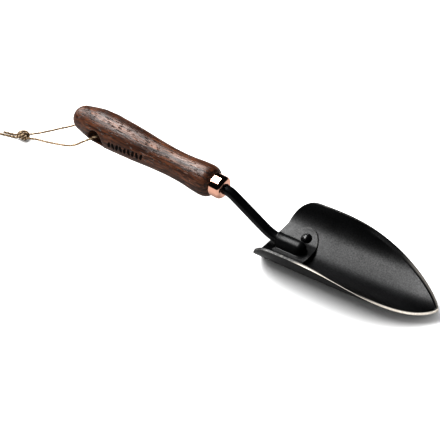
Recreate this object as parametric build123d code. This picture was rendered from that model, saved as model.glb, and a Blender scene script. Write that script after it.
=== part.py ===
from build123d import *
import math
import os

# Hand transplanter: pressed steel blade, cranked round neck held by a riveted saddle plate,
# turned hardwood handle with a copper ferrule, and a twine hanging loop.
# Millimetres. Everything is drawn in the blade's frame: x = 0 at the rear edge of the keel and
# +X to the tip, +Y to the tool's left, z = 0 on the inside of the keel. place() moves it to the
# row's frame, centred over the floor that the blade rests on.

# Blade
BLADE_LENGTH = 135.0
BLADE_THICKNESS = 2.2
REAR_RADIUS = 34.4            # inside radius of the section at the rear
TIP_RADIUS = 32.2
REAR_HALF_ANGLE = 71.85       # degrees from the keel to the rim, at the rear
TIP_RISE = 6.6                # the keel curves up towards the tip
KEEL_POWER = 4.0
OUTLINE_POWER = 4.325         # the plan outline is a superellipse
OUTLINE_ROOT = 0.769
CORNER_ARC = 21.1             # rounded rear corner, along the section
CORNER_END = 22.0             # where the rounded corner meets the rim
EDGE_BOW = 4.2                # the rear edge bows back to the keel
TIP_HALF_FLAT = 0.7
RIM_OVERLAP = 0.25            # the corner's curve runs this far past the rim
CUT_ANGLE = math.radians(58)  # direction of the corner's cut

# Saddle plate and rivets
SADDLE_THICKNESS = 1.2
SADDLE_CENTRE = 24.0
SADDLE_FRONT = 12.0           # half axes of its oval outline
SADDLE_REAR = 16.2
SADDLE_SIDE = 25.0            # along the section
SADDLE_LIFT = 3.0             # the plate stands this far off the keel between its wings
WING_ARC = 14.0               # outside this the wings lie on the blade
RIVET_X = 23.6
RIVET_ARC = 15.8
SHANK_RADIUS = 2.4
HEAD_RADIUS = 4.4
HEAD_HEIGHT = 2.4
TAIL_RADIUS = 3.6
TAIL_HEIGHT = 1.2
SEAT_SKIRT = 0.4              # how far a dome reaches down past its seat
FIT_GAP = 0.02                # between a rivet or the neck and its hole

# Neck
NECK_RADIUS = 3.95
NECK_SLOPE = 31.7             # degrees below the horizontal
FOOT_CORNER_X = 4.2           # where the sloping part meets the foot's line
FOOT_HEIGHT = 6.9             # the foot's centreline over the keel
FOOT_BEND = 32.0
TOP_BEND = 20.0
FOOT_END_X = 26.5             # centre of the foot's round end
TANG_DEPTH = 60.0             # inside the handle

# Handle and ferrule; distances along the handle are measured from its front face
HANDLE_TILT = 5.1             # degrees, rising to the butt
HANDLE_LENGTH = 138.3
FRONT_X, FRONT_Z = -48.97, 32.25
BUTT_RADIUS = 10.7
BUTT_TURN = 78.0              # degrees of the butt's round before the belly's curve takes over
HANDLE_BELLY = 14.3
HANDLE_WAIST = 10.75
HANDLE_FRONT = 12.4
TENON_RADIUS = 7.6
TENON_LENGTH = 8.4
BORE_RADIUS = 4.5
HOLE_FROM_FRONT = 107.2
HOLE_TURN = 20.0
HOLE_RADIUS = 7.7
HOLE_ROUND = 1.2
FERRULE_RADIUS = 8.9
FERRULE_LENGTH = 10.0
FERRULE_WALL = 1.2
FERRULE_SEAT = 8.5            # radius where the handle's rounded shoulder meets the ferrule
SHOULDER = 7.0                # length of that rounding along the handle
FERRULE_ROUND = 3.4

# Twine, in the row's frame
TWINE_DIAMETER = 1.8
NEAR_ROUTE = [
    (-129.4, 0.0, 43.4), (-129.4, -5.4, 41.9), (-130.9, -12.2, 41.7), (-135.1, -17.4, 39.9),
    (-141.0, -18.3, 36.1), (-147.6, -16.6, 30.8), (-158.5, -14.6, 24.5), (-171.2, -12.2, 19.8),
    (-183.3, -10.0, 15.6), (-194.8, -7.8, 11.8), (-206.6, -5.6, 8.6), (-217.1, -4.6, 5.1),
    (-226.4, -5.2, 3.0), (-234.6, -6.6, 1.1), (-242.4, -8.4, 1.0), (-250.6, -10.2, 1.0),
]
FAR_ROUTE = [
    (-129.4, 0.0, 43.4), (-129.4, 5.4, 44.9), (-131.2, 12.2, 45.9), (-136.2, 17.4, 44.4),
    (-143.6, 18.6, 41.0), (-154.6, 17.2, 35.8), (-168.8, 14.8, 28.4), (-180.6, 12.2, 22.5),
    (-191.2, 9.8, 17.6), (-201.8, 7.2, 12.7), (-212.6, 4.4, 7.9), (-221.8, 0.9, 4.8),
    (-229.4, -2.0, 3.6), (-236.8, -3.7, 1.4), (-243.4, -4.9, 1.0), (-249.7, -6.1, 1.0),
]
KNOT_CENTRE = (-226.3, -3.6, 4.4)
KNOT_SIZE = (14.0, 11.0, 8.6)

TOTAL_REAR = FRONT_X - HANDLE_LENGTH * math.cos(math.radians(HANDLE_TILT))
SHIFT_X = -(BLADE_LENGTH + TOTAL_REAR) / 2


def section_radius(x):
    return REAR_RADIUS + (TIP_RADIUS - REAR_RADIUS) * x / BLADE_LENGTH


def keel_height(x):
    return TIP_RISE * (x / BLADE_LENGTH) ** KEEL_POWER


def half_arc(x):
    """Distance along the section from the keel to the rim."""
    widest = REAR_RADIUS * math.sin(math.radians(REAR_HALF_ANGLE))
    width = widest * (1 - (x / BLADE_LENGTH) ** OUTLINE_POWER) ** OUTLINE_ROOT
    return section_radius(x) * math.asin(width / section_radius(x))


def rear_edge(turn):
    """A point (x, arc) on the rear edge: bowed back to the keel at 0, the rounded corner at 1."""
    straight = half_arc(CORNER_END) - CORNER_ARC
    if turn <= 0.5:
        return EDGE_BOW * (2 * turn) ** 2, straight * 2 * turn
    angle = math.pi * (turn - 0.5)
    x = CORNER_END - (CORNER_END - EDGE_BOW) * math.cos(angle)
    return x, straight + (CORNER_ARC + RIM_OVERLAP) * math.sin(angle)


def surface_point(x, arc, depth=0.0):
    """A point on the blade's inside, or a depth above it towards the section's centre."""
    radius = section_radius(x)
    angle = arc / radius
    centre = keel_height(x) + radius
    return (x, (radius - depth) * math.sin(angle), centre - (radius - depth) * math.cos(angle))


def blade_sheet():
    """The blade's inside before its rear corners are cut; rows gather towards the tip."""
    rows, columns, gather = 60, 24, 1.3
    grid = []
    for i in range(rows + 1):
        x = blunt_tip() * (1 - (1 - i / rows) ** gather)
        arcs = [half_arc(x) * (2 * j / columns - 1) for j in range(columns + 1)]
        grid.append([surface_point(x, arc) for arc in arcs])
    return Face.make_surface_from_array_of_points(grid, tol=0.01)


def blunt_tip():
    """Where the outline has narrowed to the tip's small flat."""
    low, high = 0.9 * BLADE_LENGTH, BLADE_LENGTH
    while high - low > 0.001:
        middle = (low + high) / 2
        low, high = (middle, high) if half_arc(middle) > TIP_HALF_FLAT else (low, middle)
    return low


def corner_cutter(side):
    """Removes what lies behind the rear edge, cut square to the sheet near the corner."""
    frame = Plane(origin=(0, 0, REAR_RADIUS), x_dir=(1, 0, 0),
                  z_dir=(0, side * math.sin(CUT_ANGLE), -math.cos(CUT_ANGLE)))
    steps = 16
    edge = []
    for i in range(steps + 1):
        x, arc = rear_edge(i / steps)
        across = REAR_RADIUS * math.sin(arc / REAR_RADIUS - CUT_ANGLE)
        edge.append((x, -side * across))
    far = -side * REAR_RADIUS
    behind = Polyline(edge[-1], (CORNER_END, far), (-10, far), (-10, edge[0][1]), edge[0])
    region = make_face([Spline(*edge), behind])
    return extrude(frame * region, 3 * REAR_RADIUS)


def outward(face, thickness):
    """The face thickened away from the tool's hollow side."""
    solid = Solid.thicken(face, thickness)
    if solid.bounding_box().min.Z > face.bounding_box().min.Z - thickness / 2:
        solid = Solid.thicken(face, -thickness)
    return solid


def rivet_frame(side):
    radius = section_radius(RIVET_X)
    angle = side * RIVET_ARC / radius
    return Pos(*surface_point(RIVET_X, side * RIVET_ARC)) * Rot(math.degrees(angle), 0, 0)


def rivet_holes():
    hole = Cylinder(SHANK_RADIUS + FIT_GAP, 16)
    return [rivet_frame(side) * hole for side in (-1, 1)]


def neck_path():
    tilt, slope = math.radians(HANDLE_TILT), math.radians(NECK_SLOPE)
    foot = Vector(FOOT_CORNER_X, 0, FOOT_HEIGHT)
    along_handle = Vector(math.cos(tilt), 0, -math.sin(tilt))
    front = Vector(FRONT_X, 0, FRONT_Z)
    down = Vector(math.cos(slope), 0, -math.sin(slope))
    # The handle's axis and the sloping line cross at the top corner.
    gap = foot - front
    run = (gap.X * down.Z - gap.Z * down.X) / (along_handle.X * down.Z - along_handle.Z * down.X)
    corner = front + along_handle * run
    tang_end = front - along_handle * TANG_DEPTH
    foot_end = Vector(FOOT_END_X, 0, FOOT_HEIGHT)
    return FilletPolyline(tang_end, corner, foot, foot_end, radius=[TOP_BEND, FOOT_BEND])


def bar(path, radius):
    return sweep(Plane(origin=path @ 0, z_dir=path % 0) * Circle(radius), path=path)


def round_ended_bar(radius):
    """A bar along the neck's path with a ball on its foot."""
    return bar(neck_path(), radius) + Pos(FOOT_END_X, 0, FOOT_HEIGHT) * Sphere(radius)


def blade():
    sheet = outward(blade_sheet(), BLADE_THICKNESS)
    for side in (-1, 1):
        sheet -= corner_cutter(side)
    for hole in rivet_holes():
        sheet -= hole
    return sheet


def saddle_outline():
    """The oval flange, drawn flat over the keel and cut out of the curved sheet from above."""
    side = section_radius(SADDLE_CENTRE) * math.sin(SADDLE_SIDE / section_radius(SADDLE_CENTRE))
    front = EllipticalCenterArc((SADDLE_CENTRE, 0), SADDLE_FRONT, side, -90, arc_size=180)
    rear = EllipticalCenterArc((SADDLE_CENTRE, 0), SADDLE_REAR, side, 90, arc_size=180)
    return make_face([front, rear])


def flange_height(arc):
    """The plate's underside over the blade: raised over the keel, down on the blade at the wings."""
    share = min(1.0, (arc / WING_ARC) ** 2)
    return FIT_GAP + SADDLE_LIFT * (1 - share) ** 2


def flange_sheet():
    """The plate without its tunnel, as one section drawn along X."""
    front = SADDLE_CENTRE + SADDLE_FRONT
    arcs = [-28 + 56 * k / 40 for k in range(41)]
    under = [surface_point(front, arc, flange_height(arc)) for arc in arcs]
    top = [surface_point(front, arc, flange_height(arc) + SADDLE_THICKNESS) for arc in arcs]
    lower = Spline(*[(0, y, z) for x, y, z in under])
    upper = Spline(*[(0, y, z) for x, y, z in top])
    ends = [Line(lower @ 0, upper @ 0), Line(lower @ 1, upper @ 1)]
    return extrude(make_face([lower, upper, *ends]), 40, dir=(1, 0, 0))


def saddle():
    """A pressed plate: two wings joined by a tunnel that is open below, over the neck's foot."""
    column = extrude(saddle_outline(), 30)
    tunnel = round_ended_bar(NECK_RADIUS + SADDLE_THICKNESS)
    plate = (flange_sheet() + tunnel) & column
    plate -= round_ended_bar(NECK_RADIUS + FIT_GAP)
    mouth = FOOT_HEIGHT / 2
    plate -= Pos(FOOT_END_X / 2, 0, mouth) * Box(FOOT_END_X, 2 * (NECK_RADIUS + FIT_GAP), FOOT_HEIGHT)
    plate -= Pos(FOOT_END_X, 0, mouth) * Cylinder(NECK_RADIUS + FIT_GAP, FOOT_HEIGHT)
    for hole in rivet_holes():
        plate -= hole
    return plate


def cap(radius, height):
    """A low dome standing on z = 0."""
    ball = (radius ** 2 + height ** 2) / (2 * height)
    return (Pos(0, 0, height - ball) * Sphere(ball)) & (Pos(0, 0, ball) * Box(ball * 3, ball * 3, ball * 2))


def seated_cap(radius, height):
    """A dome with a skirt that reaches down to the curved sheet it is pressed on."""
    return cap(radius, height) + Pos(0, 0, -SEAT_SKIRT / 2) * Cylinder(radius, SEAT_SKIRT)


def rivet(side, plate, sheet):
    head_seat = SADDLE_THICKNESS
    tail_seat = -BLADE_THICKNESS
    shank = Pos(0, 0, (head_seat + tail_seat) / 2) * Cylinder(SHANK_RADIUS, head_seat - tail_seat + 1)
    head = Pos(0, 0, head_seat) * seated_cap(HEAD_RADIUS, HEAD_HEIGHT)
    tail = Pos(0, 0, tail_seat) * Rot(180, 0, 0) * seated_cap(TAIL_RADIUS, TAIL_HEIGHT)
    return rivet_frame(side) * (shank + head + tail) - plate - sheet


def on_handle(shape):
    """From the handle's own frame, with its front face at x = 0 and its butt at -X."""
    return Pos(FRONT_X, 0, FRONT_Z) * Rot(0, HANDLE_TILT, 0) * shape


def spin(outline):
    """A turned piece: the outline is drawn in x and radius."""
    return revolve(Plane.XZ * make_face(outline), Axis.X)


def hole_rims(body):
    """The two edges where the hanging hole comes out of the handle."""
    middles = [(edge, edge @ 0.5) for edge in body.edges()]
    return [edge for edge, middle in middles
            if abs(middle.X + HOLE_FROM_FRONT) < HOLE_RADIUS + 1
            and math.hypot(middle.Y, middle.Z) > HOLE_RADIUS + 1]


def handle():
    length = HANDLE_LENGTH
    butt = CenterArc((-length + BUTT_RADIUS, 0), BUTT_RADIUS, 180, -BUTT_TURN)
    profile = [
        butt @ 1, (-109.0, HANDLE_BELLY), (-93.0, 13.95), (-74.0, 12.95), (-54.0, 11.4),
        (-36.5, HANDLE_WAIST), (-24.0, 11.15), (-14.0, 12.1), (-SHOULDER, HANDLE_FRONT),
    ]
    outer = Spline(*profile, tangents=[butt % 1, (1, 0)], tangent_scalars=[1, 1])
    shoulder = EllipticalCenterArc((-SHOULDER, FERRULE_SEAT), SHOULDER, HANDLE_FRONT - FERRULE_SEAT,
                                   0, arc_size=90)
    face = Polyline((0, FERRULE_SEAT), (0, TENON_RADIUS), (TENON_LENGTH, TENON_RADIUS),
                    (TENON_LENGTH, 0), (-length, 0))
    body = spin([butt, outer, shoulder, face])
    bore_depth = TENON_LENGTH + TANG_DEPTH + 1.0
    body -= Pos(TENON_LENGTH - bore_depth / 2, 0, 0) * Rot(0, 90, 0) * Cylinder(BORE_RADIUS, bore_depth)
    body -= Pos(-HOLE_FROM_FRONT, 0, 0) * Rot(90 + HOLE_TURN, 0, 0) * Cylinder(HOLE_RADIUS, 60)
    return on_handle(fillet(hole_rims(body), HOLE_ROUND))


def ferrule():
    length, radius, wall = FERRULE_LENGTH, FERRULE_RADIUS, FERRULE_WALL
    mouth = NECK_RADIUS + 0.15
    crown = CenterArc((length - FERRULE_ROUND, radius - FERRULE_ROUND), FERRULE_ROUND, 0, 90)
    rest = Polyline((length, radius - FERRULE_ROUND), (length, mouth), (length - wall, mouth),
                    (length - wall, TENON_RADIUS + 0.05), (0, TENON_RADIUS + 0.05), (0, radius),
                    (length - FERRULE_ROUND, radius))
    return on_handle(spin([crown, rest]))


def tang_adhesive():
    length = TENON_LENGTH + TANG_DEPTH
    tube = Cylinder(BORE_RADIUS - FIT_GAP, length) - Cylinder(NECK_RADIUS + FIT_GAP, length + 2)
    return on_handle(Pos(TENON_LENGTH - length / 2, 0, 0) * Rot(0, 90, 0) * tube)


def corner_radii(points):
    """The largest arcs that the runs of a route allow."""
    vectors = [Vector(*p) for p in points]
    radii = []
    for before, here, after in zip(vectors, vectors[1:], vectors[2:]):
        arriving, leaving = here - before, after - here
        half_turn = math.radians(arriving.get_angle(leaving)) / 2
        radii.append(0.45 * min(arriving.length, leaving.length) / math.tan(half_turn))
    return radii


def twine(name, route):
    radii = corner_radii(route)
    path = FilletPolyline(*route, radius=radii)
    tube = bar(path, TWINE_DIAMETER / 2)
    expected = math.pi * (TWINE_DIAMETER / 2) ** 2 * path.length
    print(name, "radii", [round(r, 1) for r in radii])
    print(name, "length", round(path.length, 1), "volume", round(tube.volume, 1), "of", round(expected, 1))
    return tube


def knot():
    a, b, c = (size / 2 for size in KNOT_SIZE)
    profile = EllipticalCenterArc((0, 0), a, b, 0, arc_size=180)
    ball = revolve(make_face([profile, Line((-a, 0), (a, 0))]), Axis.X)
    return Pos(*KNOT_CENTRE) * scale(ball, (1, 1, c / b))


def place(shape):
    return Pos(SHIFT_X, 0, BLADE_THICKNESS) * shape


def write(name, shape):
    solids = shape.solids()
    shape = solids[0] if len(solids) == 1 else Compound(children=solids)
    export_step(shape, f"parts/{name}.step")


os.makedirs("parts", exist_ok=True)
sheet = blade()
plate = saddle()
write("blade", place(sheet))
write("saddle_plate", place(plate))
write("rivet_near", place(rivet(-1, plate, sheet)))
write("rivet_far", place(rivet(1, plate, sheet)))
write("neck", place(round_ended_bar(NECK_RADIUS)))
write("handle", place(handle()))
write("ferrule", place(ferrule()))
write("tang_adhesive", place(tang_adhesive()))
write("hang_cord_near", twine("hang_cord_near", NEAR_ROUTE))
write("hang_cord_far", twine("hang_cord_far", FAR_ROUTE))
write("cord_knot", knot())
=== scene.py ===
import math

import bmesh
import bpy
import numpy as np
from mathutils import Matrix, Vector


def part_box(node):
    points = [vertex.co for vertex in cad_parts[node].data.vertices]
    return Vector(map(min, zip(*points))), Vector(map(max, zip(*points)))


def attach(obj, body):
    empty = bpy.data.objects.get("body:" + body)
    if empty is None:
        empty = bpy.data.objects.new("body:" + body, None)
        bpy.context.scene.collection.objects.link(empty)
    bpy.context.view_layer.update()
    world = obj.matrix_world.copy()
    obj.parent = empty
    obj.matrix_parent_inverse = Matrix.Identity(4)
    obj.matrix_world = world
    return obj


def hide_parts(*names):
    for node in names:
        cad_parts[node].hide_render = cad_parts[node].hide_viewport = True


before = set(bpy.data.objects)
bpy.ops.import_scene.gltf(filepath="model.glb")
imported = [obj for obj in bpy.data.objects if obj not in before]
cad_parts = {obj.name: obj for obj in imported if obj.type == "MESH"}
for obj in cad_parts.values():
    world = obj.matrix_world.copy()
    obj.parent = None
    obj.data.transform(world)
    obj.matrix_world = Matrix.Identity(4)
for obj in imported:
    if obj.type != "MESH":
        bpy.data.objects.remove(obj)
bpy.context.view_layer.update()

# Hand transplanter. Shapes are worked out in millimetres in the blade's frame (x = 0 at the rear
# of the keel, +X to the tip, z = 0 on the inside of the keel) and to_row() takes them to the
# row's frame in metres. The twine is given in the row's frame, as it is in the CAD model.

MM = 0.001
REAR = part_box("blade")[0]

# Blade
BLADE_LENGTH = 135.0
BLADE_THICKNESS = 2.2
REAR_RADIUS, TIP_RADIUS = 34.4, 32.2
REAR_HALF_ANGLE = 71.85
TIP_RISE, KEEL_POWER = 6.6, 4.0
OUTLINE_POWER, OUTLINE_ROOT = 4.325, 0.769
CORNER_ARC, CORNER_END, EDGE_BOW = 21.1, 22.0, 4.2
TIP_X = 134.9
BEVEL_WIDTH, BEVEL_DROP = 2.9, 1.75
BEVEL_FROM, BEVEL_FULL = 48.0, 82.0
BLADE_EDGE_ROUND = 0.22
# Where the coat is ground off the edge, as bare steel that is also a painted highlight along the lit corner:
# x on the right side, on both corners and on the left side (a smaller painted highlight there), then the
# depth below the inside at which the outer corner starts.
BARE_AND_HIGHLIGHT_FROM, BARE_AND_HIGHLIGHT_FULL = 36.0, 54.0
BOTH_CORNERS_FROM, BOTH_CORNERS_FULL = 70.0, 90.0
LEFT_BARE_AND_HIGHLIGHT_FROM, LEFT_BARE_AND_HIGHLIGHT_FULL, LEFT_BARE_AND_HIGHLIGHT_SHARE = 84.0, 108.0, 0.2
OUTER_CORNER_FROM, OUTER_CORNER_FULL = 1.5, 2.0
# The bare band beside the edge near the tip: x, then its distance from the rim.
TIP_BAND_FROM, TIP_BAND_FULL = 84.0, 112.0
TIP_BAND_INNER, TIP_BAND_OUTER = 1.5, 2.4

# Saddle plate and rivets
SADDLE_THICKNESS = 1.2
SADDLE_CENTRE, SADDLE_FRONT, SADDLE_REAR, SADDLE_SIDE = 24.0, 12.0, 16.2, 25.0
SADDLE_LIFT, WING_ARC = 3.0, 14.0
TUNNEL_FILLET, SADDLE_EDGE_ROUND = 1.3, 0.4
RIVET_X, RIVET_ARC = 23.6, 15.8
HEAD_RADIUS, HEAD_HEIGHT, HEAD_SKIRT = 4.4, 2.4, 0.4
TAIL_RADIUS, TAIL_HEIGHT = 3.6, 1.2
SHANK_RADIUS = 2.4
FIT_GAP = 0.02

# Neck
NECK_RADIUS = 3.95
NECK_SLOPE = math.radians(31.7)
FOOT_CORNER_X, FOOT_HEIGHT = 4.2, 6.9
FOOT_BEND, TOP_BEND = 32.0, 20.0
FOOT_END_X = 26.5
TANG_DEPTH = 60.0

# Handle and ferrule; x runs from the handle's front face, negative to the butt
HANDLE_TILT = math.radians(5.1)
HANDLE_LENGTH = 138.3
HANDLE_FRONT = Vector((-48.97, 0.0, 32.25))
BUTT_RADIUS, BUTT_TURN = 10.7, math.radians(78.0)
SHOULDER, FERRULE_SEAT = 7.0, 8.5
BELLY = [(-109.0, 14.3), (-93.0, 13.95), (-74.0, 12.95), (-54.0, 11.4), (-36.5, 10.75),
         (-24.0, 11.15), (-14.0, 12.1), (-SHOULDER, 12.4)]
TENON_RADIUS, TENON_LENGTH, BORE_RADIUS = 7.6, 8.4, 4.5
HOLE_X, HOLE_RADIUS, HOLE_ROUND = -107.2, 7.7, 1.2
HOLE_TURN = math.radians(20.0)
FERRULE_RADIUS, FERRULE_LENGTH, FERRULE_WALL, FERRULE_ROUND = 8.9, 10.0, 1.2, 3.4
FERRULE_LIP, MOUTH_GAP, TENON_GAP = 0.3, 0.15, 0.05

# The mark burnt into the handle: a row of leaves
MARK_FROM, MARK_LEAVES, MARK_PITCH = -92.0, 9, 3.81
MARK_LOW, MARK_RISE = -1.4, 0.058
LEAF_HALF_HEIGHT, LEAF_HALF_WIDTH, LEAF_LEAN, LEAF_BLUR = 2.8, 1.2, 0.22, 0.3
MARK_DEPTH = 0.3

# Twine, in the row's frame
TWINE_DIAMETER = 1.8
TWIST_PITCH = 3.9
NEAR_ROUTE = [
    (-129.4, 0.0, 43.4), (-129.4, -5.4, 41.9), (-130.9, -12.2, 41.7), (-135.1, -17.4, 39.9),
    (-141.0, -18.3, 36.1), (-147.6, -16.6, 30.8), (-158.5, -14.6, 24.5), (-171.2, -12.2, 19.8),
    (-183.3, -10.0, 15.6), (-194.8, -7.8, 11.8), (-206.6, -5.6, 8.6), (-217.1, -4.6, 5.1),
    (-226.4, -5.2, 3.0), (-234.6, -6.6, 1.1), (-242.4, -8.4, 1.0), (-250.6, -10.2, 1.0),
]
FAR_ROUTE = [
    (-129.4, 0.0, 43.4), (-129.4, 5.4, 44.9), (-131.2, 12.2, 45.9), (-136.2, 17.4, 44.4),
    (-143.6, 18.6, 41.0), (-154.6, 17.2, 35.8), (-168.8, 14.8, 28.4), (-180.6, 12.2, 22.5),
    (-191.2, 9.8, 17.6), (-201.8, 7.2, 12.7), (-212.6, 4.4, 7.9), (-221.8, 0.9, 4.8),
    (-229.4, -2.0, 3.6), (-236.8, -3.7, 1.4), (-243.4, -4.9, 1.0), (-249.7, -6.1, 1.0),
]
FRAY_LENGTH = 2.6
STRAND_SHADES = (0.0, 1.0, 0.62)
KNOT_CENTRE = (-226.3, -3.6, 4.4)
KNOT_HALF_LENGTH, KNOT_WIDTH, KNOT_HEIGHT = 8.2, 4.45, 3.3

# Camera
AZIMUTH, ELEVATION = math.radians(35.96), math.radians(37.28)
CAMERA_DISTANCE, LENS = 642.5, 72.13
CAMERA_AIM = Vector((-4.74, -18.5, 20.2))

# Light and tone
ROOM_LIGHT, ROOM_IN_REFLECTIONS = 1.0, 0.006
FLOOR_WHITE, FLOOR_IN_REFLECTIONS = (0.66, 0.66, 0.66, 1), (0.30, 0.30, 0.30, 1)
PICTURE_GAMMA = 0.74


def to_row(points):
    """Blade-frame millimetres to row-frame metres."""
    return np.asarray(points, float) * MM + np.array((REAR.x, 0.0, BLADE_THICKNESS * MM))


def smooth_step(low, high, value):
    t = np.clip((value - low) / (high - low), 0.0, 1.0)
    return t * t * (3 - 2 * t)


def distances_along(places):
    """How far each point of a line is from its start."""
    return np.concatenate([[0], np.cumsum(np.linalg.norm(np.diff(places, axis=0), axis=1))])


def points_at(places, along, at):
    """A line's points at the distances asked for."""
    return np.column_stack([np.interp(at, along, places[:, k]) for k in range(places.shape[1])])


# ---------------------------------------------------------------- meshes

def in_scene(name, data):
    made = bpy.data.objects.new(name, data)
    bpy.context.scene.collection.objects.link(made)
    return made


def turn_faces_out(mesh, merge=False):
    """Points all faces outwards, after merging doubled points where asked."""
    shape = bmesh.new()
    shape.from_mesh(mesh)
    if merge:
        bmesh.ops.remove_doubles(shape, verts=shape.verts, dist=1e-8)
    bmesh.ops.recalc_face_normals(shape, faces=shape.faces)
    shape.to_mesh(mesh)
    shape.free()


def closed_mesh(name, points, faces):
    mesh = bpy.data.meshes.new(name)
    mesh.from_pydata([tuple(p) for p in points], [], faces)
    turn_faces_out(mesh)
    return mesh


def piece(name, points, faces, material, sharp=35.0):
    """A closed mesh that rides on the tool. Points are metres in the row's frame."""
    mesh = closed_mesh(name, points, faces)
    mesh.shade_smooth()
    mesh.set_sharp_from_angle(angle=math.radians(sharp))
    mesh.materials.append(material)
    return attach(in_scene(name, mesh), "root")


def stand_in(made, node):
    """The piece is shown in place of a CAD node, which is hidden."""
    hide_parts(node)
    return made


def set_attribute(made, name, values):
    attribute = made.data.attributes.new(name, "FLOAT", "POINT")
    attribute.data.foreach_set("value", np.asarray(values, np.float32))


def band_faces(lower, upper, closed=True):
    """Quads between two rows of vertex numbers."""
    count = len(lower)
    last = count if closed else count - 1
    return [(lower[j], lower[(j + 1) % count], upper[(j + 1) % count], upper[j]) for j in range(last)]


def rings_mesh(rings):
    """Points and faces of a skin over closed rings; a ring of one point closes an end."""
    points, faces, previous = [], [], None
    for ring in rings:
        numbers = list(range(len(points), len(points) + len(ring)))
        points.extend(ring)
        if previous is not None:
            if len(previous) == 1:
                faces += [(previous[0], numbers[(j + 1) % len(numbers)], numbers[j])
                          for j in range(len(numbers))]
            elif len(numbers) == 1:
                faces += [(previous[j], previous[(j + 1) % len(previous)], numbers[0])
                          for j in range(len(previous))]
            else:
                faces += band_faces(previous, numbers)
        previous = numbers
    return np.array(points, float), faces


def lathe_rings(profile, angles):
    """Rings about +X through (x, radius) points; angle 0 is +Z and 90 degrees is -Y."""
    rings = []
    for x, radius in profile:
        if radius < 1e-6:
            rings.append([(x, 0.0, 0.0)])
        else:
            rings.append([(x, -radius * math.sin(a), radius * math.cos(a)) for a in angles])
    return rings


def even_angles(count):
    return [2 * math.pi * k / count for k in range(count)]


def arc_points(centre, radius, start, end, steps):
    """Points on an arc in x and radius; degrees from +X."""
    turns = np.radians(np.linspace(start, end, steps + 1))
    return [(centre[0] + radius * math.cos(t), centre[1] + radius * math.sin(t)) for t in turns]


def on_handle(points):
    """From the handle's own frame to the blade's."""
    turn = Matrix.Rotation(HANDLE_TILT, 3, "Y")
    return np.asarray(points, float) @ np.array(turn).T + np.array(HANDLE_FRONT)


def grid_edge(rows, columns):
    """The numbers of a grid's outermost vertices, in order round it."""
    rear = [j for j in range(columns)]
    right = [i * columns + columns - 1 for i in range(1, rows)]
    front = [(rows - 1) * columns + j for j in range(columns - 2, -1, -1)]
    left = [i * columns for i in range(rows - 2, 0, -1)]
    return rear + right + front + left


def grid_faces(rows, columns, offset=0):
    return [(offset + i * columns + j, offset + (i + 1) * columns + j,
             offset + (i + 1) * columns + j + 1, offset + i * columns + j + 1)
            for i in range(rows - 1) for j in range(columns - 1)]


def unit(vectors):
    return vectors / np.maximum(np.linalg.norm(vectors, axis=-1, keepdims=True), 1e-9)


def sheet_skin(top, bottom, rounding, steps=4):
    """A solid between two grids of points with a rounded edge; also says how far each vertex is
    into the edge, from 0 on the faces to 1 in the middle of the edge."""
    rows, columns = top.shape[:2]
    loop = grid_edge(rows, columns)
    tops, bottoms = top.reshape(-1, 3).copy(), bottom.reshape(-1, 3).copy()
    upper, lower = tops[loop].copy(), bottoms[loop].copy()
    across = unit(upper - lower)
    along = np.roll(upper, -1, axis=0) - np.roll(upper, 1, axis=0)
    out = unit(np.cross(across, along))
    tops[loop] = upper - rounding * out
    bottoms[loop] = lower - rounding * out
    turns = [math.radians(90 * k / steps) for k in range(1, steps + 1)]
    rings = [upper - rounding * ((1 - math.sin(t)) * out + (1 - math.cos(t)) * across) for t in turns]
    rings += [lower - rounding * ((1 - math.sin(t)) * out - (1 - math.cos(t)) * across)
              for t in reversed(turns)]
    points = np.vstack([tops, bottoms, *rings])
    faces = grid_faces(rows, columns) + grid_faces(rows, columns, len(tops))
    base = 2 * len(tops)
    numbers = [loop] + [list(range(base + k * len(loop), base + (k + 1) * len(loop)))
                        for k in range(len(rings))]
    numbers.append([len(tops) + n for n in loop])
    for one, two in zip(numbers, numbers[1:]):
        faces += band_faces(one, two)
    depth = np.zeros(len(points))
    depth[base:] = 1.0
    return points, faces, depth


# ---------------------------------------------------------------- blade

def section_radius(x):
    return REAR_RADIUS + (TIP_RADIUS - REAR_RADIUS) * x / BLADE_LENGTH


def keel_height(x):
    return TIP_RISE * (x / BLADE_LENGTH) ** KEEL_POWER


def half_arc(x):
    """Distance along the section from the keel to the rim."""
    widest = REAR_RADIUS * math.sin(math.radians(REAR_HALF_ANGLE))
    width = widest * (1 - (x / BLADE_LENGTH) ** OUTLINE_POWER) ** OUTLINE_ROOT
    return section_radius(x) * math.asin(width / section_radius(x))


def surface_point(x, arc, depth):
    """A point a depth above the blade's inside, towards the section's centre."""
    radius = section_radius(x)
    angle = arc / radius
    centre = keel_height(x) + radius
    return (x, (radius - depth) * math.sin(angle), centre - (radius - depth) * math.cos(angle))


def rear_edge_arc(x):
    """Distance from the keel to the rear edge at x, on the bow or the rounded corner."""
    straight = half_arc(CORNER_END) - CORNER_ARC
    if x <= EDGE_BOW:
        return straight * math.sqrt(max(x, 0.0) / EDGE_BOW)
    share = (CORNER_END - x) / (CORNER_END - EDGE_BOW)
    return straight + CORNER_ARC * math.sqrt(max(0.0, 1 - share * share))


def bevel_arc(x):
    """The ground bevel's width along the section, where the outline runs at a slope."""
    step = 0.05
    slope = (half_arc(min(x + step, TIP_X)) - half_arc(max(x - step, 0.0))) / (2 * step)
    return min(BEVEL_WIDTH * math.hypot(1, slope), 0.97 * half_arc(x))


def blade_columns():
    """Each column's arc as a function of x: the bevels' columns, then the floor's between them."""
    bevel_steps, floor_steps = 5, 44
    rim = [k / bevel_steps for k in range(bevel_steps)]
    left = [lambda x, k=k: -(half_arc(x) - k * bevel_arc(x)) for k in rim]
    floor = [lambda x, t=t: t * (half_arc(x) - bevel_arc(x)) for t in np.linspace(-1, 1, floor_steps + 1)]
    right = [lambda x, k=k: half_arc(x) - k * bevel_arc(x) for k in reversed(rim)]
    return left + floor + right


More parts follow.
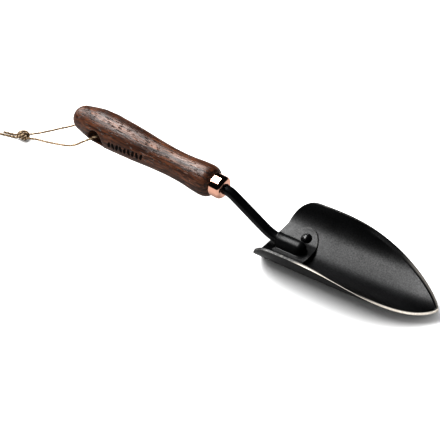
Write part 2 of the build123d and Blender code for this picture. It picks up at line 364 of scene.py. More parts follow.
def column_start(arc_at):
    """Where a column leaves the rear edge."""
    low, high = 0.0, CORNER_END
    for _ in range(40):
        middle = (low + high) / 2
        if abs(arc_at(middle)) > rear_edge_arc(middle):
            low = middle
        else:
            high = middle
    return high


def bevel_depth(x, arc):
    """How far the ground bevel takes the inside down at a point."""
    share = 1 - (half_arc(x) - abs(arc)) / bevel_arc(x)
    return BEVEL_DROP * float(smooth_step(BEVEL_FROM, BEVEL_FULL, x)) * max(0.0, share)


def bare_and_highlight_share(point):
    """How bare a point of the edge is, the bare steel also being a painted highlight: behind the bevel only
    the outer corner, the left edge less.
    """
    x, y, z = (float(c) for c in point)
    depth = math.hypot(y, section_radius(x) - (z - keel_height(x))) - section_radius(x)
    corner = max(float(smooth_step(OUTER_CORNER_FROM, OUTER_CORNER_FULL, depth)),
                 float(smooth_step(BOTH_CORNERS_FROM, BOTH_CORNERS_FULL, x)))
    if y > 0:
        return LEFT_BARE_AND_HIGHLIGHT_SHARE * corner * float(smooth_step(LEFT_BARE_AND_HIGHLIGHT_FROM, LEFT_BARE_AND_HIGHLIGHT_FULL, x))
    return corner * float(smooth_step(BARE_AND_HIGHLIGHT_FROM, BARE_AND_HIGHLIGHT_FULL, x))


def tip_band(point):
    """1 within the band along the edge that is ground bare on both sides near the tip."""
    x = float(point[0])
    radius = section_radius(x)
    arc = radius * math.atan2(abs(point[1]), radius - (point[2] - keel_height(x)))
    near_edge = 1 - float(smooth_step(TIP_BAND_INNER, TIP_BAND_OUTER, half_arc(min(x, TIP_X)) - arc))
    return near_edge * float(smooth_step(TIP_BAND_FROM, TIP_BAND_FULL, x))


def build_blade(material):
    rows, gather = 150, 1.35
    columns = blade_columns()
    starts = [column_start(c) for c in columns]
    top = np.zeros((rows + 1, len(columns), 3))
    bottom = np.zeros_like(top)
    for i in range(rows + 1):
        share = 1 - (1 - i / rows) ** gather
        for j, (arc_at, start) in enumerate(zip(columns, starts)):
            x = start + (TIP_X - start) * share
            arc = arc_at(x)
            top[i, j] = surface_point(x, arc, -bevel_depth(x, arc))
            bottom[i, j] = surface_point(x, arc, -BLADE_THICKNESS)
    points, faces, edge = sheet_skin(top, bottom, BLADE_EDGE_ROUND)
    made = piece("transplanter_blade", to_row(points), faces, material, sharp=24)
    set_attribute(made, "edge", np.maximum(edge, [tip_band(p) for p in points]))
    # The bare edge is partly ground steel and partly a painted highlight, strongest on the right side.
    set_attribute(made, "bare_and_highlight", [bare_and_highlight_share(p) for p in points])
    return stand_in(made, "blade")


# ---------------------------------------------------------------- neck, saddle plate, rivets

def neck_corners():
    """The corners of the neck's centreline in x and z, from the tang's end to the foot."""
    along = Vector((math.cos(HANDLE_TILT), -math.sin(HANDLE_TILT)))
    down = Vector((math.cos(NECK_SLOPE), -math.sin(NECK_SLOPE)))
    front = Vector((HANDLE_FRONT.x, HANDLE_FRONT.z))
    foot = Vector((FOOT_CORNER_X, FOOT_HEIGHT))
    gap = foot - front
    run = (gap.x * down.y - gap.y * down.x) / (along.x * down.y - along.y * down.x)
    return [front - along * TANG_DEPTH, front + along * run, foot, Vector((FOOT_END_X, FOOT_HEIGHT))]


def rounded_line(corners, radii, spacing):
    """Points in x and z along straight runs joined by arcs."""
    line = [corners[0]]
    for before, here, after, radius in zip(corners, corners[1:], corners[2:], radii):
        arriving, leaving = (here - before).normalized(), (after - here).normalized()
        turn = arriving.angle(leaving)
        reach = radius * math.tan(turn / 2)
        first, last = here - arriving * reach, here + leaving * reach
        inside = (leaving - arriving).normalized()
        centre = here + inside * (radius / math.cos(turn / 2))
        line.append(first)
        steps = max(2, round(radius * turn / spacing))
        for k in range(1, steps):
            mix = first.lerp(last, k / steps) - centre
            line.append(centre + mix.normalized() * radius)
        line.append(last)
    line.append(corners[-1])
    dense = [line[0]]
    for one, two in zip(line, line[1:]):
        steps = max(1, math.ceil((two - one).length / (2 * spacing)))
        dense += [one.lerp(two, k / steps) for k in range(1, steps + 1)]
    return dense


def neck_line():
    """Points in x and z along the neck's centreline."""
    return [(p.x, p.y) for p in rounded_line(neck_corners(), [TOP_BEND, FOOT_BEND], 0.8)]


def build_neck(material):
    angles = even_angles(56)
    places = [Vector((x, 0, z)) for x, z in neck_line()]
    rings = []
    for k, place in enumerate(places):
        ahead = (places[min(k + 1, len(places) - 1)] - places[max(k - 1, 0)]).normalized()
        up = Vector((-ahead.z, 0, ahead.x))
        rings.append([place + NECK_RADIUS * (math.cos(a) * up + math.sin(a) * Vector((0, -1, 0)))
                      for a in angles])
    last = places[-1]
    nose = [[last + NECK_RADIUS * Vector((math.sin(t), -math.cos(t) * math.sin(a), math.cos(t) * math.cos(a)))
             for a in angles] for t in np.radians((15, 30, 45, 60, 75))]
    tip = [last + Vector((NECK_RADIUS, 0, 0))]
    points, faces = rings_mesh([[places[0]]] + rings + nose + [tip])
    made = piece("cranked_neck", to_row(points), faces, material)
    return stand_in(made, "neck")


def plate_lift(arcs):
    """How far the plate stands off the blade: raised over the keel, down at the wings."""
    return SADDLE_LIFT * (1 - np.minimum(1.0, (arcs / WING_ARC) ** 2)) ** 2


def blended_height(x, arcs, line, level):
    """Height above the blade's inside where the plate's skin is: a flange and a tunnel over the
    neck, blended by a fillet. Level 0 is the top skin and -SADDLE_THICKNESS the under skin."""
    lift = plate_lift(arcs)
    low, high = lift + level + 0.5 * SADDLE_THICKNESS, np.full(len(arcs), 18.0)
    radius = section_radius(x)
    angles = arcs / radius
    for _ in range(22):
        middle = (low + high) / 2
        y = (radius - middle) * np.sin(angles)
        z = keel_height(x) + radius - (radius - middle) * np.cos(angles)
        rise = np.maximum(z - line[:, 1:2], 0.0)
        away = np.sqrt((line[:, 0:1] - x) ** 2 + y ** 2 + rise ** 2)
        tunnel = away.min(axis=0) - NECK_RADIUS - SADDLE_THICKNESS
        flange = middle - SADDLE_THICKNESS - lift
        mix = np.maximum(0.0, 1 - np.abs(flange - tunnel) / TUNNEL_FILLET)
        field = np.minimum(flange, tunnel) - TUNNEL_FILLET * mix ** 2 / 4
        above = field > level
        high = np.where(above, middle, high)
        low = np.where(above, low, middle)
    return (low + high) / 2


def plate_row(x, side, line, level):
    """A row of the plate's skin from edge to edge, evenly spaced on the tunnel and on each wing."""
    arcs = np.linspace(0, side, 320)
    heights = blended_height(x, arcs, line, level)
    on_tunnel = np.nonzero(heights > plate_lift(arcs) + level + SADDLE_THICKNESS + 0.03)[0]
    middle = min(max(on_tunnel[-1] if len(on_tunnel) else 0, 40), 240)
    curve = np.array([surface_point(x, a, h) for a, h in zip(arcs, heights)])
    row = []
    for part, count in ((curve[:middle + 1], 30), (curve[middle:], 24)):
        along = distances_along(part)
        row.append(points_at(part, along, np.linspace(0, along[-1], count + 1)))
    half = np.vstack([row[0], row[1][1:]])
    mirrored = half[:0:-1] * np.array((1, -1, 1))
    return np.vstack([mirrored, half])


def plate_skin(level):
    """The plate's top or under skin as a grid, its rows closer together near both ends."""
    line = np.array([p for p in neck_line() if p[0] > -4])
    fine = points_at(line, np.linspace(0, 1, len(line)), np.linspace(0, 1, 200))
    rows = []
    for turn in np.radians(np.linspace(-76, 87, 96)):
        reach = SADDLE_FRONT if turn > 0 else SADDLE_REAR
        x = SADDLE_CENTRE + reach * math.sin(turn)
        rows.append(plate_row(x, SADDLE_SIDE * math.cos(turn), fine, level))
    # Each inner point moves a little towards its neighbours in the rows before and after.
    grid = np.array(rows)
    grid[1:-1, 1:-1] += 0.25 * (grid[2:, 1:-1] + grid[:-2, 1:-1] - 2 * grid[1:-1, 1:-1])
    return grid


def build_saddle(material):
    top, under = plate_skin(0.0), plate_skin(FIT_GAP - SADDLE_THICKNESS)
    points, faces, edge = sheet_skin(top, under, SADDLE_EDGE_ROUND)
    made = piece("saddle_plate_pressed", to_row(points), faces, material, sharp=50)
    set_attribute(made, "edge", edge)
    return stand_in(made, "saddle_plate")


def dome(radius, height, seat, steps):
    """Points in height and radius of a low dome, from its rim to its top."""
    ball = (radius ** 2 + height ** 2) / (2 * height)
    widest = math.asin(min(1.0, radius / ball))
    turns = [widest * (1 - k / steps) for k in range(steps + 1)]
    return [(seat + height - ball + ball * math.cos(t), ball * math.sin(t)) for t in turns]


def build_rivet(name, node, side, material):
    steps = 14
    head = dome(HEAD_RADIUS, HEAD_HEIGHT, SADDLE_THICKNESS, steps)
    tail = [(-h, r) for h, r in dome(TAIL_RADIUS, TAIL_HEIGHT, BLADE_THICKNESS, steps)]
    under_head, over_tail = SADDLE_THICKNESS - HEAD_SKIRT, HEAD_SKIRT - BLADE_THICKNESS
    profile = tail[::-1] + [(over_tail, TAIL_RADIUS), (over_tail, SHANK_RADIUS)]
    profile += [(under_head, SHANK_RADIUS), (under_head, HEAD_RADIUS)] + head
    points, faces = rings_mesh(lathe_rings(profile, even_angles(48)))
    radius = section_radius(RIVET_X)
    angle = side * RIVET_ARC / radius
    # The lathe's axis becomes the blade's normal at the rivet.
    up = np.array((0, -math.sin(angle), math.cos(angle)))
    across = np.array((0, math.cos(angle), math.sin(angle)))
    seat = np.array(surface_point(RIVET_X, side * RIVET_ARC, 0.0))
    placed = seat + points[:, 0:1] * up + points[:, 1:2] * across + points[:, 2:3] * np.array((1, 0, 0))
    made = piece(name, to_row(placed), faces, material)
    return stand_in(made, node)


# ---------------------------------------------------------------- ferrule and handle

def build_ferrule(material):
    length, radius, wall = FERRULE_LENGTH, FERRULE_RADIUS, FERRULE_WALL
    mouth, bore, lip = NECK_RADIUS + MOUTH_GAP, TENON_RADIUS + TENON_GAP, FERRULE_LIP
    profile = arc_points((lip, radius - lip), lip, 180, 90, 4)
    profile += [(x, radius) for x in np.linspace(1.2, length - FERRULE_ROUND - 0.4, 7)]
    profile += arc_points((length - FERRULE_ROUND, radius - FERRULE_ROUND), FERRULE_ROUND, 90, 0, 16)
    profile += [(length, mouth + lip)]
    profile += arc_points((length - lip, mouth + lip), lip, 0, -90, 4)
    profile += [(length - wall, mouth), (length - wall, bore), (0, bore)]
    rings = lathe_rings(profile, even_angles(128))
    points, faces = rings_mesh(rings + rings[:1])
    made = piece("copper_ferrule", to_row(on_handle(points)), faces, material, sharp=40)
    turn_faces_out(made.data, merge=True)
    return stand_in(made, "ferrule")


def smooth_curve(points, start_slope, spacing):
    """Cubic spans through (x, radius) points in order of x, with slopes that join smoothly."""
    slopes = [start_slope]
    for before, here, after in zip(points, points[1:], points[2:]):
        first = (here[1] - before[1]) / (here[0] - before[0])
        second = (after[1] - here[1]) / (after[0] - here[0])
        back, ahead = here[0] - before[0], after[0] - here[0]
        slopes.append((first * ahead + second * back) / (back + ahead))
    slopes.append(0.0)
    curve = []
    for (x0, r0), (x1, r1), m0, m1 in zip(points, points[1:], slopes, slopes[1:]):
        steps = max(1, math.ceil((x1 - x0) / spacing))
        for k in range(steps):
            t, run = k / steps, x1 - x0
            curve.append((x0 + run * t, r0 * (1 + 2 * t) * (1 - t) ** 2 + m0 * run * t * (1 - t) ** 2
                          + r1 * t * t * (3 - 2 * t) + m1 * run * t * t * (t - 1)))
    return curve


def handle_profile():
    """x and radius from the butt over the belly to the front face, the tenon and the tang's bore."""
    butt_centre = (-HANDLE_LENGTH + BUTT_RADIUS, 0.0)
    butt = arc_points(butt_centre, BUTT_RADIUS, 180, 180 - math.degrees(BUTT_TURN), 26)
    start = butt.pop()
    slope = (butt_centre[0] - start[0]) / start[1]
    body = smooth_curve([start] + BELLY, slope, 0.3)
    front_radius = BELLY[-1][1]
    shoulder = [(SHOULDER * (math.sin(t) - 1), FERRULE_SEAT + (front_radius - FERRULE_SEAT) * math.cos(t))
                for t in np.radians(np.linspace(0, 90, 17))]
    bore_end = -TANG_DEPTH - 1.0
    inner = [(0.0, TENON_RADIUS), (TENON_LENGTH - 0.5, TENON_RADIUS), (TENON_LENGTH, TENON_RADIUS - 0.5),
             (TENON_LENGTH, BORE_RADIUS), (bore_end, BORE_RADIUS), (bore_end, 0.0)]
    return butt + body + shoulder + inner


def leaf_mark(x, up):
    """How burnt the wood is at x along the handle and a height above its side: slim leaves in a
    row, leaning left and right in turn."""
    burnt = np.zeros_like(x)
    up = up - MARK_LOW - MARK_RISE * (x - MARK_FROM)
    for k in range(MARK_LEAVES):
        lean = LEAF_LEAN if k % 2 else -LEAF_LEAN
        across = (x - MARK_FROM - k * MARK_PITCH) * math.cos(lean) + up * math.sin(lean)
        along = up * math.cos(lean) - (x - MARK_FROM - k * MARK_PITCH) * math.sin(lean)
        width = LEAF_HALF_WIDTH * np.sqrt(np.clip(1 - (along / LEAF_HALF_HEIGHT) ** 2, 0, 1))
        inside = (width - np.abs(across)) / LEAF_BLUR
        burnt = np.maximum(burnt, np.where(np.abs(along) < LEAF_HALF_HEIGHT, np.clip(inside + 0.5, 0, 1), 0))
    return burnt


def handle_angles():
    """Angles round the handle, closer together where the mark is, at 90 degrees."""
    near = np.radians(np.arange(75, 109.01, 0.85))
    far = np.radians(np.linspace(109, 435, 128)[1:-1])
    return list(near) + list(far)


def mouth_profile(turn, outline):
    """The rounded mouth at one angle round the hanging hole, as (distance from the hole's axis,
    height along it): an arc that touches the hole's wall and the handle's outside."""
    tolerance, past_skin = 0.02, 5
    out = np.linspace(HOLE_RADIUS, HOLE_RADIUS + 2.5 * HOLE_ROUND, 60)
    radius = np.interp(HOLE_X + out * math.cos(turn), outline[:, 0], outline[:, 1])
    skin = np.sqrt(radius ** 2 - (out * math.sin(turn)) ** 2)
    middle = HOLE_RADIUS + HOLE_ROUND
    low, high = 0.0, float(skin[0])
    for _ in range(30):
        centre = (low + high) / 2
        gaps = np.hypot(out - middle, skin - centre)
        if gaps.min() > HOLE_ROUND + tolerance:
            low = centre
        else:
            high = centre
    touch = int(gaps.argmin())
    end = math.atan2(skin[touch] - high, out[touch] - middle)
    arc = [(middle + HOLE_ROUND * math.cos(t), high + HOLE_ROUND * math.sin(t))
           for t in np.linspace(math.pi, end, 11)]
    return arc + [(middle + past_skin * math.cos(end), high + past_skin * math.sin(end))]


def hole_cutter():
    """What is taken out of the handle for the hanging hole, with its rounded mouths."""
    outline = np.array([p for p in handle_profile() if p[0] < -60 and p[1] > 6])
    turns = even_angles(112)
    mouths = np.array([mouth_profile(t, outline) for t in turns])
    rings = [[(r * math.cos(t), r * math.sin(t), h) for t, (r, h) in zip(turns, mouths[:, k])]
             for k in range(mouths.shape[1])]
    top = [(0.0, 0.0, float(mouths[:, -1, 1].max()) + 1)]
    below = [[(x, y, -z) for x, y, z in ring] for ring in [top] + rings[::-1]]
    points, faces = rings_mesh(below + rings + [top])
    near = np.array((0, -math.cos(HOLE_TURN), -math.sin(HOLE_TURN)))
    across = np.array((0, -math.sin(HOLE_TURN), math.cos(HOLE_TURN)))
    turned = (points[:, 0:1] + HOLE_X) * np.array((1, 0, 0)) + points[:, 1:2] * across + points[:, 2:3] * near
    return in_scene("hole_cutter", closed_mesh("hole_cutter", to_row(on_handle(turned)), faces))


def build_handle(material):
    angles = handle_angles()
    points, faces = rings_mesh(lathe_rings(handle_profile(), angles))
    radius = np.maximum(np.hypot(points[:, 1], points[:, 2]), 1e-6)
    outside = (radius > BORE_RADIUS + 1) & (points[:, 0] < -2) & (points[:, 1] < 0)
    burnt = np.where(outside, leaf_mark(points[:, 0], points[:, 2]), 0.0)
    points[:, 1:] *= (1 - MARK_DEPTH * burnt / radius)[:, None]
    made = piece("walnut_handle", to_row(on_handle(points)), faces, material, sharp=40)
    set_attribute(made, "burnt", burnt)
    cutter = hole_cutter()
    cut = made.modifiers.new("hanging_hole", "BOOLEAN")
    cut.operation, cut.solver, cut.object = "DIFFERENCE", "EXACT", cutter
    bpy.context.view_layer.update()
    evaluated = made.evaluated_get(bpy.context.evaluated_depsgraph_get())
    drilled = bpy.data.meshes.new_from_object(evaluated)
    made.modifiers.remove(cut)
    made.data = drilled
    bpy.data.objects.remove(cutter)
    drilled.set_sharp_from_angle(angle=math.radians(33))
    return stand_in(made, "handle")


# ---------------------------------------------------------------- twine

def spline_points(name, route):
    """Points along the NURBS spline that a route's points control, in metres."""
    curve = bpy.data.curves.new(name, "CURVE")
    curve.dimensions = "3D"
    curve.resolution_u = 24
    spline = curve.splines.new("NURBS")
    spline.points.add(len(route) - 1)
    for point, place in zip(spline.points, route):
        point.co = (*(c * MM for c in place), 1.0)
    spline.order_u = 3
    spline.use_endpoint_u = True
    holder = in_scene(name, curve)
    line = bpy.data.meshes.new_from_object(holder)
    places = np.array([v.co for v in line.vertices])
    bpy.data.objects.remove(holder)
    bpy.data.meshes.remove(line)
    return places


def even_steps(places, spacing):
    """A line's points at even steps, and their distances along it."""
    along = distances_along(places)
    at = np.linspace(0, along[-1], max(2, round(along[-1] / spacing)) + 1)
    return points_at(places, along, at), at


def carried_frames(places):
    """Two unit vectors across a line at each point, carried along it without twist."""
    ahead = unit(np.gradient(places, axis=0))
    side = np.cross(ahead[0], (0.31, 0.17, 0.94))
    sides = []
    for direction in ahead:
        side = side - direction * (side @ direction)
        side = side / np.linalg.norm(side)
        sides.append(side)
    sides = np.array(sides)
    return sides, np.cross(ahead, sides)


def strand_rings(places, sides, ups, radius, around):
    turns = even_angles(around)
    return [[p + r * (math.cos(t) * s + math.sin(t) * u) for t in turns]
            for p, s, u, r in zip(places, sides, ups, radius)]


def twisted_cord(places, frayed, seed):
    """Three strands laid round a line. At a frayed end they spread a little and thin out.
    Gives points, faces, each point's distance along the cord and how pale it is, with painted shade on each
    strand's inner side."""
    spacing, around = 0.28 * MM, 10
    diameter = TWINE_DIAMETER * MM
    line, at = even_steps(places, spacing)
    sides, ups = carried_frames(line)
    strand = diameter / (1 + 2 / math.sqrt(3)) / 2
    offset = strand * 2 / math.sqrt(3)
    spread = (1 - smooth_step(0, FRAY_LENGTH * MM, at[-1] - at)) * float(frayed)
    wobble = np.random.default_rng(seed)
    points, faces, along, shade = [], [], [], []
    for k in range(3):
        phase = 2 * math.pi * (at / (TWIST_PITCH * MM) + k / 3) + 0.25 * wave(at, wobble, 9 * MM)
        reach = offset * (1 + 0.55 * spread + 0.08 * wave(at, wobble, 5 * MM))
        centre = line + (reach * np.cos(phase))[:, None] * sides + (reach * np.sin(phase))[:, None] * ups
        thickness = strand * 0.99 * (1 - 0.4 * spread + 0.07 * wave(at, wobble, 3 * MM))
        rings = strand_rings(centre, *carried_frames(centre), thickness, around)
        skin, skin_faces = rings_mesh([[centre[0]]] + rings + [[centre[-1]]])
        faces += [tuple(n + len(points) for n in face) for face in skin_faces]
        points.extend(skin)
        numbers = np.concatenate([[0], np.repeat(np.arange(len(at)), around), [len(at) - 1]])
        along.extend(at[numbers])
        # One strand is darker than the others, and all carry painted shade on their side towards the cord's
        # middle, where the strands press together.
        outward = ((skin - centre[numbers]) * (centre[numbers] - line[numbers])).sum(axis=1)
        crown = 0.5 + 0.5 * outward / np.maximum(thickness[numbers] * reach[numbers], 1e-9)
        shade.extend(smooth_step(0.25, 0.75, crown) * STRAND_SHADES[k])
    return np.array(points), faces, np.array(along), np.array(shade)


def wave(at, draws, length):
    """A smooth random wave along a line, between about -1 and 1."""
    total = np.zeros_like(at)
    for stretch in (1.0, 0.61, 0.37):
        start = draws.uniform(0, 6.28)
        total += np.sin(2 * math.pi * at / (length * stretch) + start) * draws.uniform(0.3, 0.6)
    return total / 1.2


def build_twine(name, node, route, seed, material):
    line = spline_points(name, route)
    points, faces, along, shade = twisted_cord(line, True, seed)
    made = piece(name, points, faces, material, sharp=60)
    set_attribute(made, "along", along)
    set_attribute(made, "shade", shade)
    return stand_in(made, node), line


def knot_route(turns, start, middle, spread, reach, lean, draws):
    """A wrap round both cords that winds along the knot's length and swells in the middle."""
    count = round(turns * 9)
    share = np.linspace(0, 1, count + 1)
    angle = 2 * math.pi * turns * share + start
    x = middle + spread * (share - 0.5)
    swell = np.sqrt(1 - (x / KNOT_HALF_LENGTH) ** 2) * (1 + 0.05 * wave(share, draws, 0.22))
    tuck = smooth_step(-0.02, 0.08, share) * smooth_step(-0.02, 0.08, 1 - share)
    out = reach * swell * (0.4 + 0.6 * tuck)
    places = np.column_stack([x + lean * np.sin(angle - 0.5) + 0.15 * wave(share, draws, 0.3),
                              KNOT_WIDTH * out * np.sin(angle), KNOT_HEIGHT * out * np.cos(angle)])
    places += np.array(KNOT_CENTRE)
    places[:, 2] = np.maximum(places[:, 2], TWINE_DIAMETER / 2 + 0.05)
    return places.tolist()


def build_knot(material):
    points, faces, along, shade = [], [], [], []
    draws = np.random.default_rng(5)
    wraps = [knot_route(3.9, 0.4, -0.5, 10.2, 0.90, 0.4, draws),
             knot_route(0.7, 5.2, 0.6, 6.5, 1.14, 0.0, draws)]
    for seed, route in enumerate(wraps):
        line = spline_points("knot_line", route)
        skin, skin_faces, reach, pale = twisted_cord(line, False, 40 + seed)
        faces += [tuple(n + len(points) for n in face) for face in skin_faces]
        points.extend(skin)
        along.extend(reach)
        shade.extend(pale)
    made = piece("overhand_knot", points, faces, material, sharp=60)
    set_attribute(made, "along", along)
    set_attribute(made, "shade", shade)
    return stand_in(made, "cord_knot")


# ---------------------------------------------------------------- materials

class Nodes:
    """A short way to write a material's nodes."""

    def __init__(self, name):
        self.material = bpy.data.materials.new(name)
        self.material.use_nodes = True
        self.tree = self.material.node_tree
        self.surface = self.tree.nodes["Principled BSDF"]

    def add(self, kind, inputs=(), **settings):
        made = self.tree.nodes.new(kind)
        for key, value in settings.items():
            setattr(made, key, value)
        for key, value in dict(inputs).items():
            self.feed(made.inputs[key], value)
        return made

    def feed(self, socket, value):
        if isinstance(value, bpy.types.NodeSocket):
            self.tree.links.new(value, socket)
        elif isinstance(value, bpy.types.Node):
            self.tree.links.new(value.outputs[0], socket)
        else:
            socket.default_value = value

    def shade(self, **inputs):
        for key, value in inputs.items():
            self.feed(self.surface.inputs[key.replace("_", " ")], value)

    def math(self, operation, first, second=0.0):
        return self.add("ShaderNodeMath", {0: first, 1: second}, operation=operation)

    def noise(self, vector, scale, detail=3.0, roughness=0.5):
        return self.add("ShaderNodeTexNoise", {"Vector": vector, "Scale": scale, "Detail": detail,
                                               "Roughness": roughness})

    def stretched(self, vector, scales, detail, roughness):
        """Noise with its own scale along each axis."""
        scaled = self.add("ShaderNodeMapping", {"Vector": vector, "Scale": scales})
        return self.noise(scaled, 1.0, detail, roughness)

    def ramp(self, value, low, high, out_low=0.0, out_high=1.0):
        return self.add("ShaderNodeMapRange", {0: value, 1: low, 2: high, 3: out_low, 4: out_high})

    def mix(self, share, first, second):
        made = self.add("ShaderNodeMix", data_type="RGBA")
        self.feed(made.inputs[0], share)
        self.feed(made.inputs[6], first)
        self.feed(made.inputs[7], second)
        return made.outputs[2]

    def place(self):
        return self.add("ShaderNodeTexCoord").outputs["Object"]

    def attribute(self, name):
        return self.add("ShaderNodeAttribute", attribute_name=name).outputs["Fac"]

    def bump(self, height, distance):
        return self.add("ShaderNodeBump", {"Strength": 1.0, "Distance": distance, "Height": height})


def powder_coat(name, roughness, grain):
    """Black powder coat: a fine orange peel, and bare steel where an edge is ground or sheared, painted
    bright there to stand in for the edge's highlight.
    """
    n = Nodes(name)
    place = n.place()
    peel = n.noise(place, 1100, 2.0, 0.55)
    fine = n.noise(place, 2800, 2.0, 0.6)
    patches = n.noise(place, 45, 4.0, 0.6)
    coat = n.mix(n.ramp(patches, 0.35, 0.7), (0.0012, 0.0013, 0.0016, 1), (0.0022, 0.0024, 0.0030, 1))
    edge = n.attribute("edge")
    bare_and_highlight = n.attribute("bare_and_highlight")
    chips = n.ramp(n.noise(place, 620, 3.0, 0.7), 0.46, 0.64)
    # Bare steel on the edges: partly chips and grinding, partly a painted highlight.
    wear_and_highlight = n.math("MULTIPLY", edge, n.math("MAXIMUM", bare_and_highlight, n.math("MULTIPLY", chips, 0.12)))
    bright_steel_and_highlight = n.mix(chips, (0.58, 0.54, 0.49, 1), (0.70, 0.66, 0.60, 1))
    rough = n.ramp(n.math("ADD", patches, n.math("MULTIPLY", fine, 0.35)), 0.5, 1.0,
                   roughness - 0.05, roughness + 0.08)
    n.shade(Base_Color=n.mix(wear_and_highlight, coat, bright_steel_and_highlight), Metallic=n.math("MULTIPLY", wear_and_highlight, 0.4),
            Roughness=n.math("ADD", rough, n.math("MULTIPLY", wear_and_highlight, 0.2)),
            Specular_IOR_Level=n.ramp(peel, 0.35, 0.65, 0.28, 0.48))
    shape = n.math("ADD", peel, n.math("MULTIPLY", fine, 0.35))
    n.shade(Normal=n.bump(shape, grain * MM))
    return n.material


def copper():
    n = Nodes("polished_copper")
    place = n.place()
    patches = n.noise(place, 60, 3.0, 0.5)
    scratches = n.stretched(place, (90, 1400, 1400), 3.0, 0.6)
    n.shade(Base_Color=n.mix(patches, (0.93, 0.55, 0.42, 1), (0.97, 0.63, 0.50, 1)), Metallic=1.0,
            Roughness=n.ramp(patches, 0.3, 0.7, 0.07, 0.14), Normal=n.bump(scratches, 0.008 * MM))
    return n.material


def growth_rings(n, turned):
    """How far through its ring each point is. The rings' axis lies below and beside the handle, so
    that they show as long arches."""
    split = n.add("ShaderNodeSeparateXYZ", {0: turned})
    drift = n.stretched(turned, (9, 40, 40), 3.0, 0.5)
    side = n.math("ADD", split.outputs[1], 0.016)
    low = n.math("ADD", split.outputs[2], 0.012)
    along = n.math("MULTIPLY", split.outputs[0], 0.13)
    distance = n.math("SQRT", n.math("ADD", n.math("POWER", n.math("ADD", side, along), 2.0),
                                     n.math("POWER", low, 2.0)))
    return n.math("FRACT", n.math("ADD", n.math("MULTIPLY", distance, 300.0), n.math("MULTIPLY", drift, 4.5)))


def wood_pores(n, turned):
    """Short open pores along the grain, in scattered groups."""
    scaled = n.add("ShaderNodeMapping", {"Vector": turned, "Scale": (150, 900, 900)})
    cells = n.add("ShaderNodeTexVoronoi", {"Vector": scaled, "Scale": 1.0})
    groups = n.ramp(n.noise(turned, 150, 2.0, 0.5), 0.40, 0.55)
    return n.math("MULTIPLY", n.ramp(cells.outputs["Distance"], 0.34, 0.16), groups)


def walnut():
    n = Nodes("oiled_walnut")
    turned = n.add("ShaderNodeMapping", {"Vector": n.place(), "Rotation": (0.0, -HANDLE_TILT, 0.0)})
    late = n.ramp(growth_rings(n, turned), 0.35, 0.95)
    pore = wood_pores(n, turned)
    streaks = n.stretched(turned, (26, 460, 460), 5.0, 0.68)
    bands = n.stretched(turned, (10, 130, 130), 3.0, 0.6)
    fibre = n.stretched(turned, (90, 1000, 1000), 3.0, 0.65)
    burnt = n.attribute("burnt")
    streaky = n.ramp(streaks, 0.35, 0.65)
    light = n.mix(streaky, (0.046, 0.0155, 0.0070, 1), (0.150, 0.060, 0.028, 1))
    dark = n.mix(streaky, (0.0085, 0.0028, 0.0018, 1), (0.034, 0.0105, 0.0055, 1))
    wood = n.mix(n.math("MULTIPLY", late, n.ramp(bands, 0.35, 0.6, 0.45, 1.0)), light, dark)
    wood = n.mix(n.math("MULTIPLY", n.ramp(fibre, 0.44, 0.58), 0.75), wood, (0.010, 0.0036, 0.0022, 1))
    wood = n.mix(n.math("MULTIPLY", pore, 0.9), wood, (0.006, 0.003, 0.002, 1))
    wood = n.mix(n.math("MULTIPLY", burnt, 0.95), wood, (0.0022, 0.0016, 0.0014, 1))
    rough = n.math("ADD", n.ramp(fibre, 0.35, 0.65, 0.26, 0.46), n.math("MULTIPLY", burnt, 0.4))
    raised = n.math("ADD", n.math("MULTIPLY", streaks, 0.5), n.math("MULTIPLY", fibre, 0.5))
    height = n.math("SUBTRACT", raised, n.math("MULTIPLY", pore, 1.2))
    n.shade(Base_Color=wood, Roughness=rough, Normal=n.bump(height, 0.30 * MM),
            Specular_IOR_Level=n.math("SUBTRACT", 0.40, n.math("MULTIPLY", burnt, 0.34)))
    return n.material


def hemp():
    n = Nodes("hemp_twine")
    place = n.place()
    along = n.add("ShaderNodeCombineXYZ", {0: n.math("MULTIPLY", n.attribute("along"), 260.0)})
    fine = n.add("ShaderNodeVectorMath", {0: place, 1: (2600, 2600, 2600)}, operation="MULTIPLY")
    fibres = n.noise(n.add("ShaderNodeVectorMath", {0: along, 1: fine}, operation="ADD"), 1.0, 3.0, 0.65)
    patches = n.noise(place, 230, 3.0, 0.6)
    pale = n.mix(n.ramp(patches, 0.40, 0.60), (0.20, 0.14, 0.075, 1), (0.60, 0.48, 0.34, 1))
    # The 'shade' attribute gives one darker strand and painted shade in the crevices between the strands.
    strand = n.mix(n.attribute("shade"), (0.050, 0.028, 0.013, 1), pale)
    twine = n.mix(n.ramp(fibres, 0.42, 0.62, 0.0, 0.5), strand, (0.10, 0.060, 0.030, 1))
    n.shade(Base_Color=twine, Roughness=0.88, Normal=n.bump(fibres, 0.12 * MM), Specular_IOR_Level=0.2,
            Sheen_Weight=0.1, Sheen_Roughness=0.5)
    return n.material


def resin():
    n = Nodes("tang_resin")
    cloud = n.noise(n.place(), 300, 3.0, 0.5)
    n.shade(Base_Color=n.mix(cloud, (0.16, 0.12, 0.07, 1), (0.24, 0.19, 0.12, 1)),
            Roughness=n.ramp(cloud, 0.3, 0.7, 0.35, 0.5), Normal=n.bump(cloud, 0.02 * MM))
    return n.material


def pale_floor():
    """Matt white, a little darker where it shows in something shiny."""
    n = Nodes("pale_floor")
    glossy = n.add("ShaderNodeLightPath").outputs["Is Glossy Ray"]
    n.shade(Base_Color=n.mix(glossy, FLOOR_WHITE, FLOOR_IN_REFLECTIONS), Roughness=0.85,
            Specular_IOR_Level=0.1)
    return n.material


# ---------------------------------------------------------------- stage

def build_floor():
    half = 4.0
    mesh = bpy.data.meshes.new("floor")
    corners = [(-half, -half, 0), (half, -half, 0), (half, half, 0), (-half, half, 0)]
    mesh.from_pydata(corners, [], [(0, 1, 2, 3)])
    mesh.materials.append(pale_floor())
    floor = in_scene("floor", mesh)


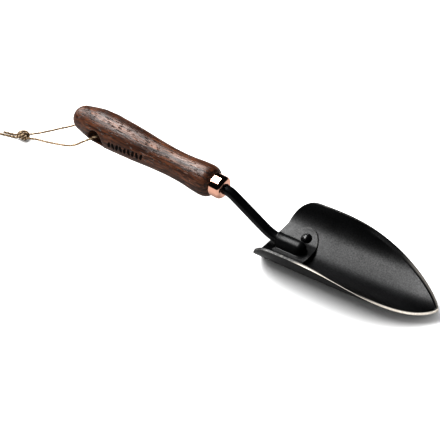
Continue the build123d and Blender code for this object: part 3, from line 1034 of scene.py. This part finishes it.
def area_light(name, place, aim, width, height, power):
    data = bpy.data.lights.new(name, "AREA")
    data.shape, data.size, data.size_y, data.energy = "RECTANGLE", width, height, power
    lamp = in_scene(name, data)
    lamp.location = place
    lamp.rotation_euler = (Vector(aim) - Vector(place)).to_track_quat("-Z", "Y").to_euler()


def build_world():
    """A pale room that gives soft fill light, but is dark where it shows in something shiny."""
    world = bpy.data.worlds.new("studio")
    world.use_nodes = True
    tree = world.node_tree
    rays = tree.nodes.new("ShaderNodeLightPath")
    strength = tree.nodes.new("ShaderNodeMapRange")
    strength.inputs[3].default_value, strength.inputs[4].default_value = ROOM_LIGHT, ROOM_IN_REFLECTIONS
    tree.links.new(rays.outputs["Is Glossy Ray"], strength.inputs[0])
    tree.links.new(strength.outputs[0], tree.nodes["Background"].inputs["Strength"])
    tree.nodes["Background"].inputs["Color"].default_value = (1, 1, 1, 1)
    bpy.context.scene.world = world


def build_lights():
    area_light("overhead_softbox", (-0.70, -0.05, 1.13), (0, 0, 0), 1.45, 0.58, 47)
    area_light("back_reflector", (-1.70, 0.26, 0.86), (-0.1, 0, 0), 0.9, 0.8, 15)


def set_tone():
    """A plain transform with the strong contrast of a catalogue picture."""
    view = bpy.context.scene.view_settings
    view.view_transform = "Standard"
    view.gamma = PICTURE_GAMMA


def build_camera():
    toward = Vector((math.sin(AZIMUTH) * math.cos(ELEVATION), -math.cos(AZIMUTH) * math.cos(ELEVATION),
                     math.sin(ELEVATION)))
    data = bpy.data.cameras.new("camera")
    data.lens, data.sensor_width = LENS, 36.0
    data.clip_start, data.clip_end = 0.01, 20.0
    camera = in_scene("camera", data)
    camera.location = (CAMERA_AIM + toward * CAMERA_DISTANCE) * MM
    camera.rotation_euler = (-toward).to_track_quat("-Z", "Y").to_euler()
    bpy.context.scene.camera = camera


def build():
    build_camera()
    twine = hemp()
    knot = build_knot(twine)
    near, near_line = build_twine("twine_near", "hang_cord_near", NEAR_ROUTE, 11, twine)
    far, far_line = build_twine("twine_far", "hang_cord_far", FAR_ROUTE, 23, twine)
    coat = powder_coat("black_powder_coat", 0.37, 0.022)
    satin = powder_coat("satin_black_coat", 0.27, 0.012)
    build_blade(coat)
    build_saddle(coat)
    build_rivet("near_rivet", "rivet_near", -1, satin)
    build_rivet("far_rivet", "rivet_far", 1, satin)
    build_neck(satin)
    build_ferrule(copper())
    build_handle(walnut())
    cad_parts["tang_adhesive"].material_slots[0].material = resin()
    build_floor()
    build_world()
    build_lights()
    set_tone()


build()
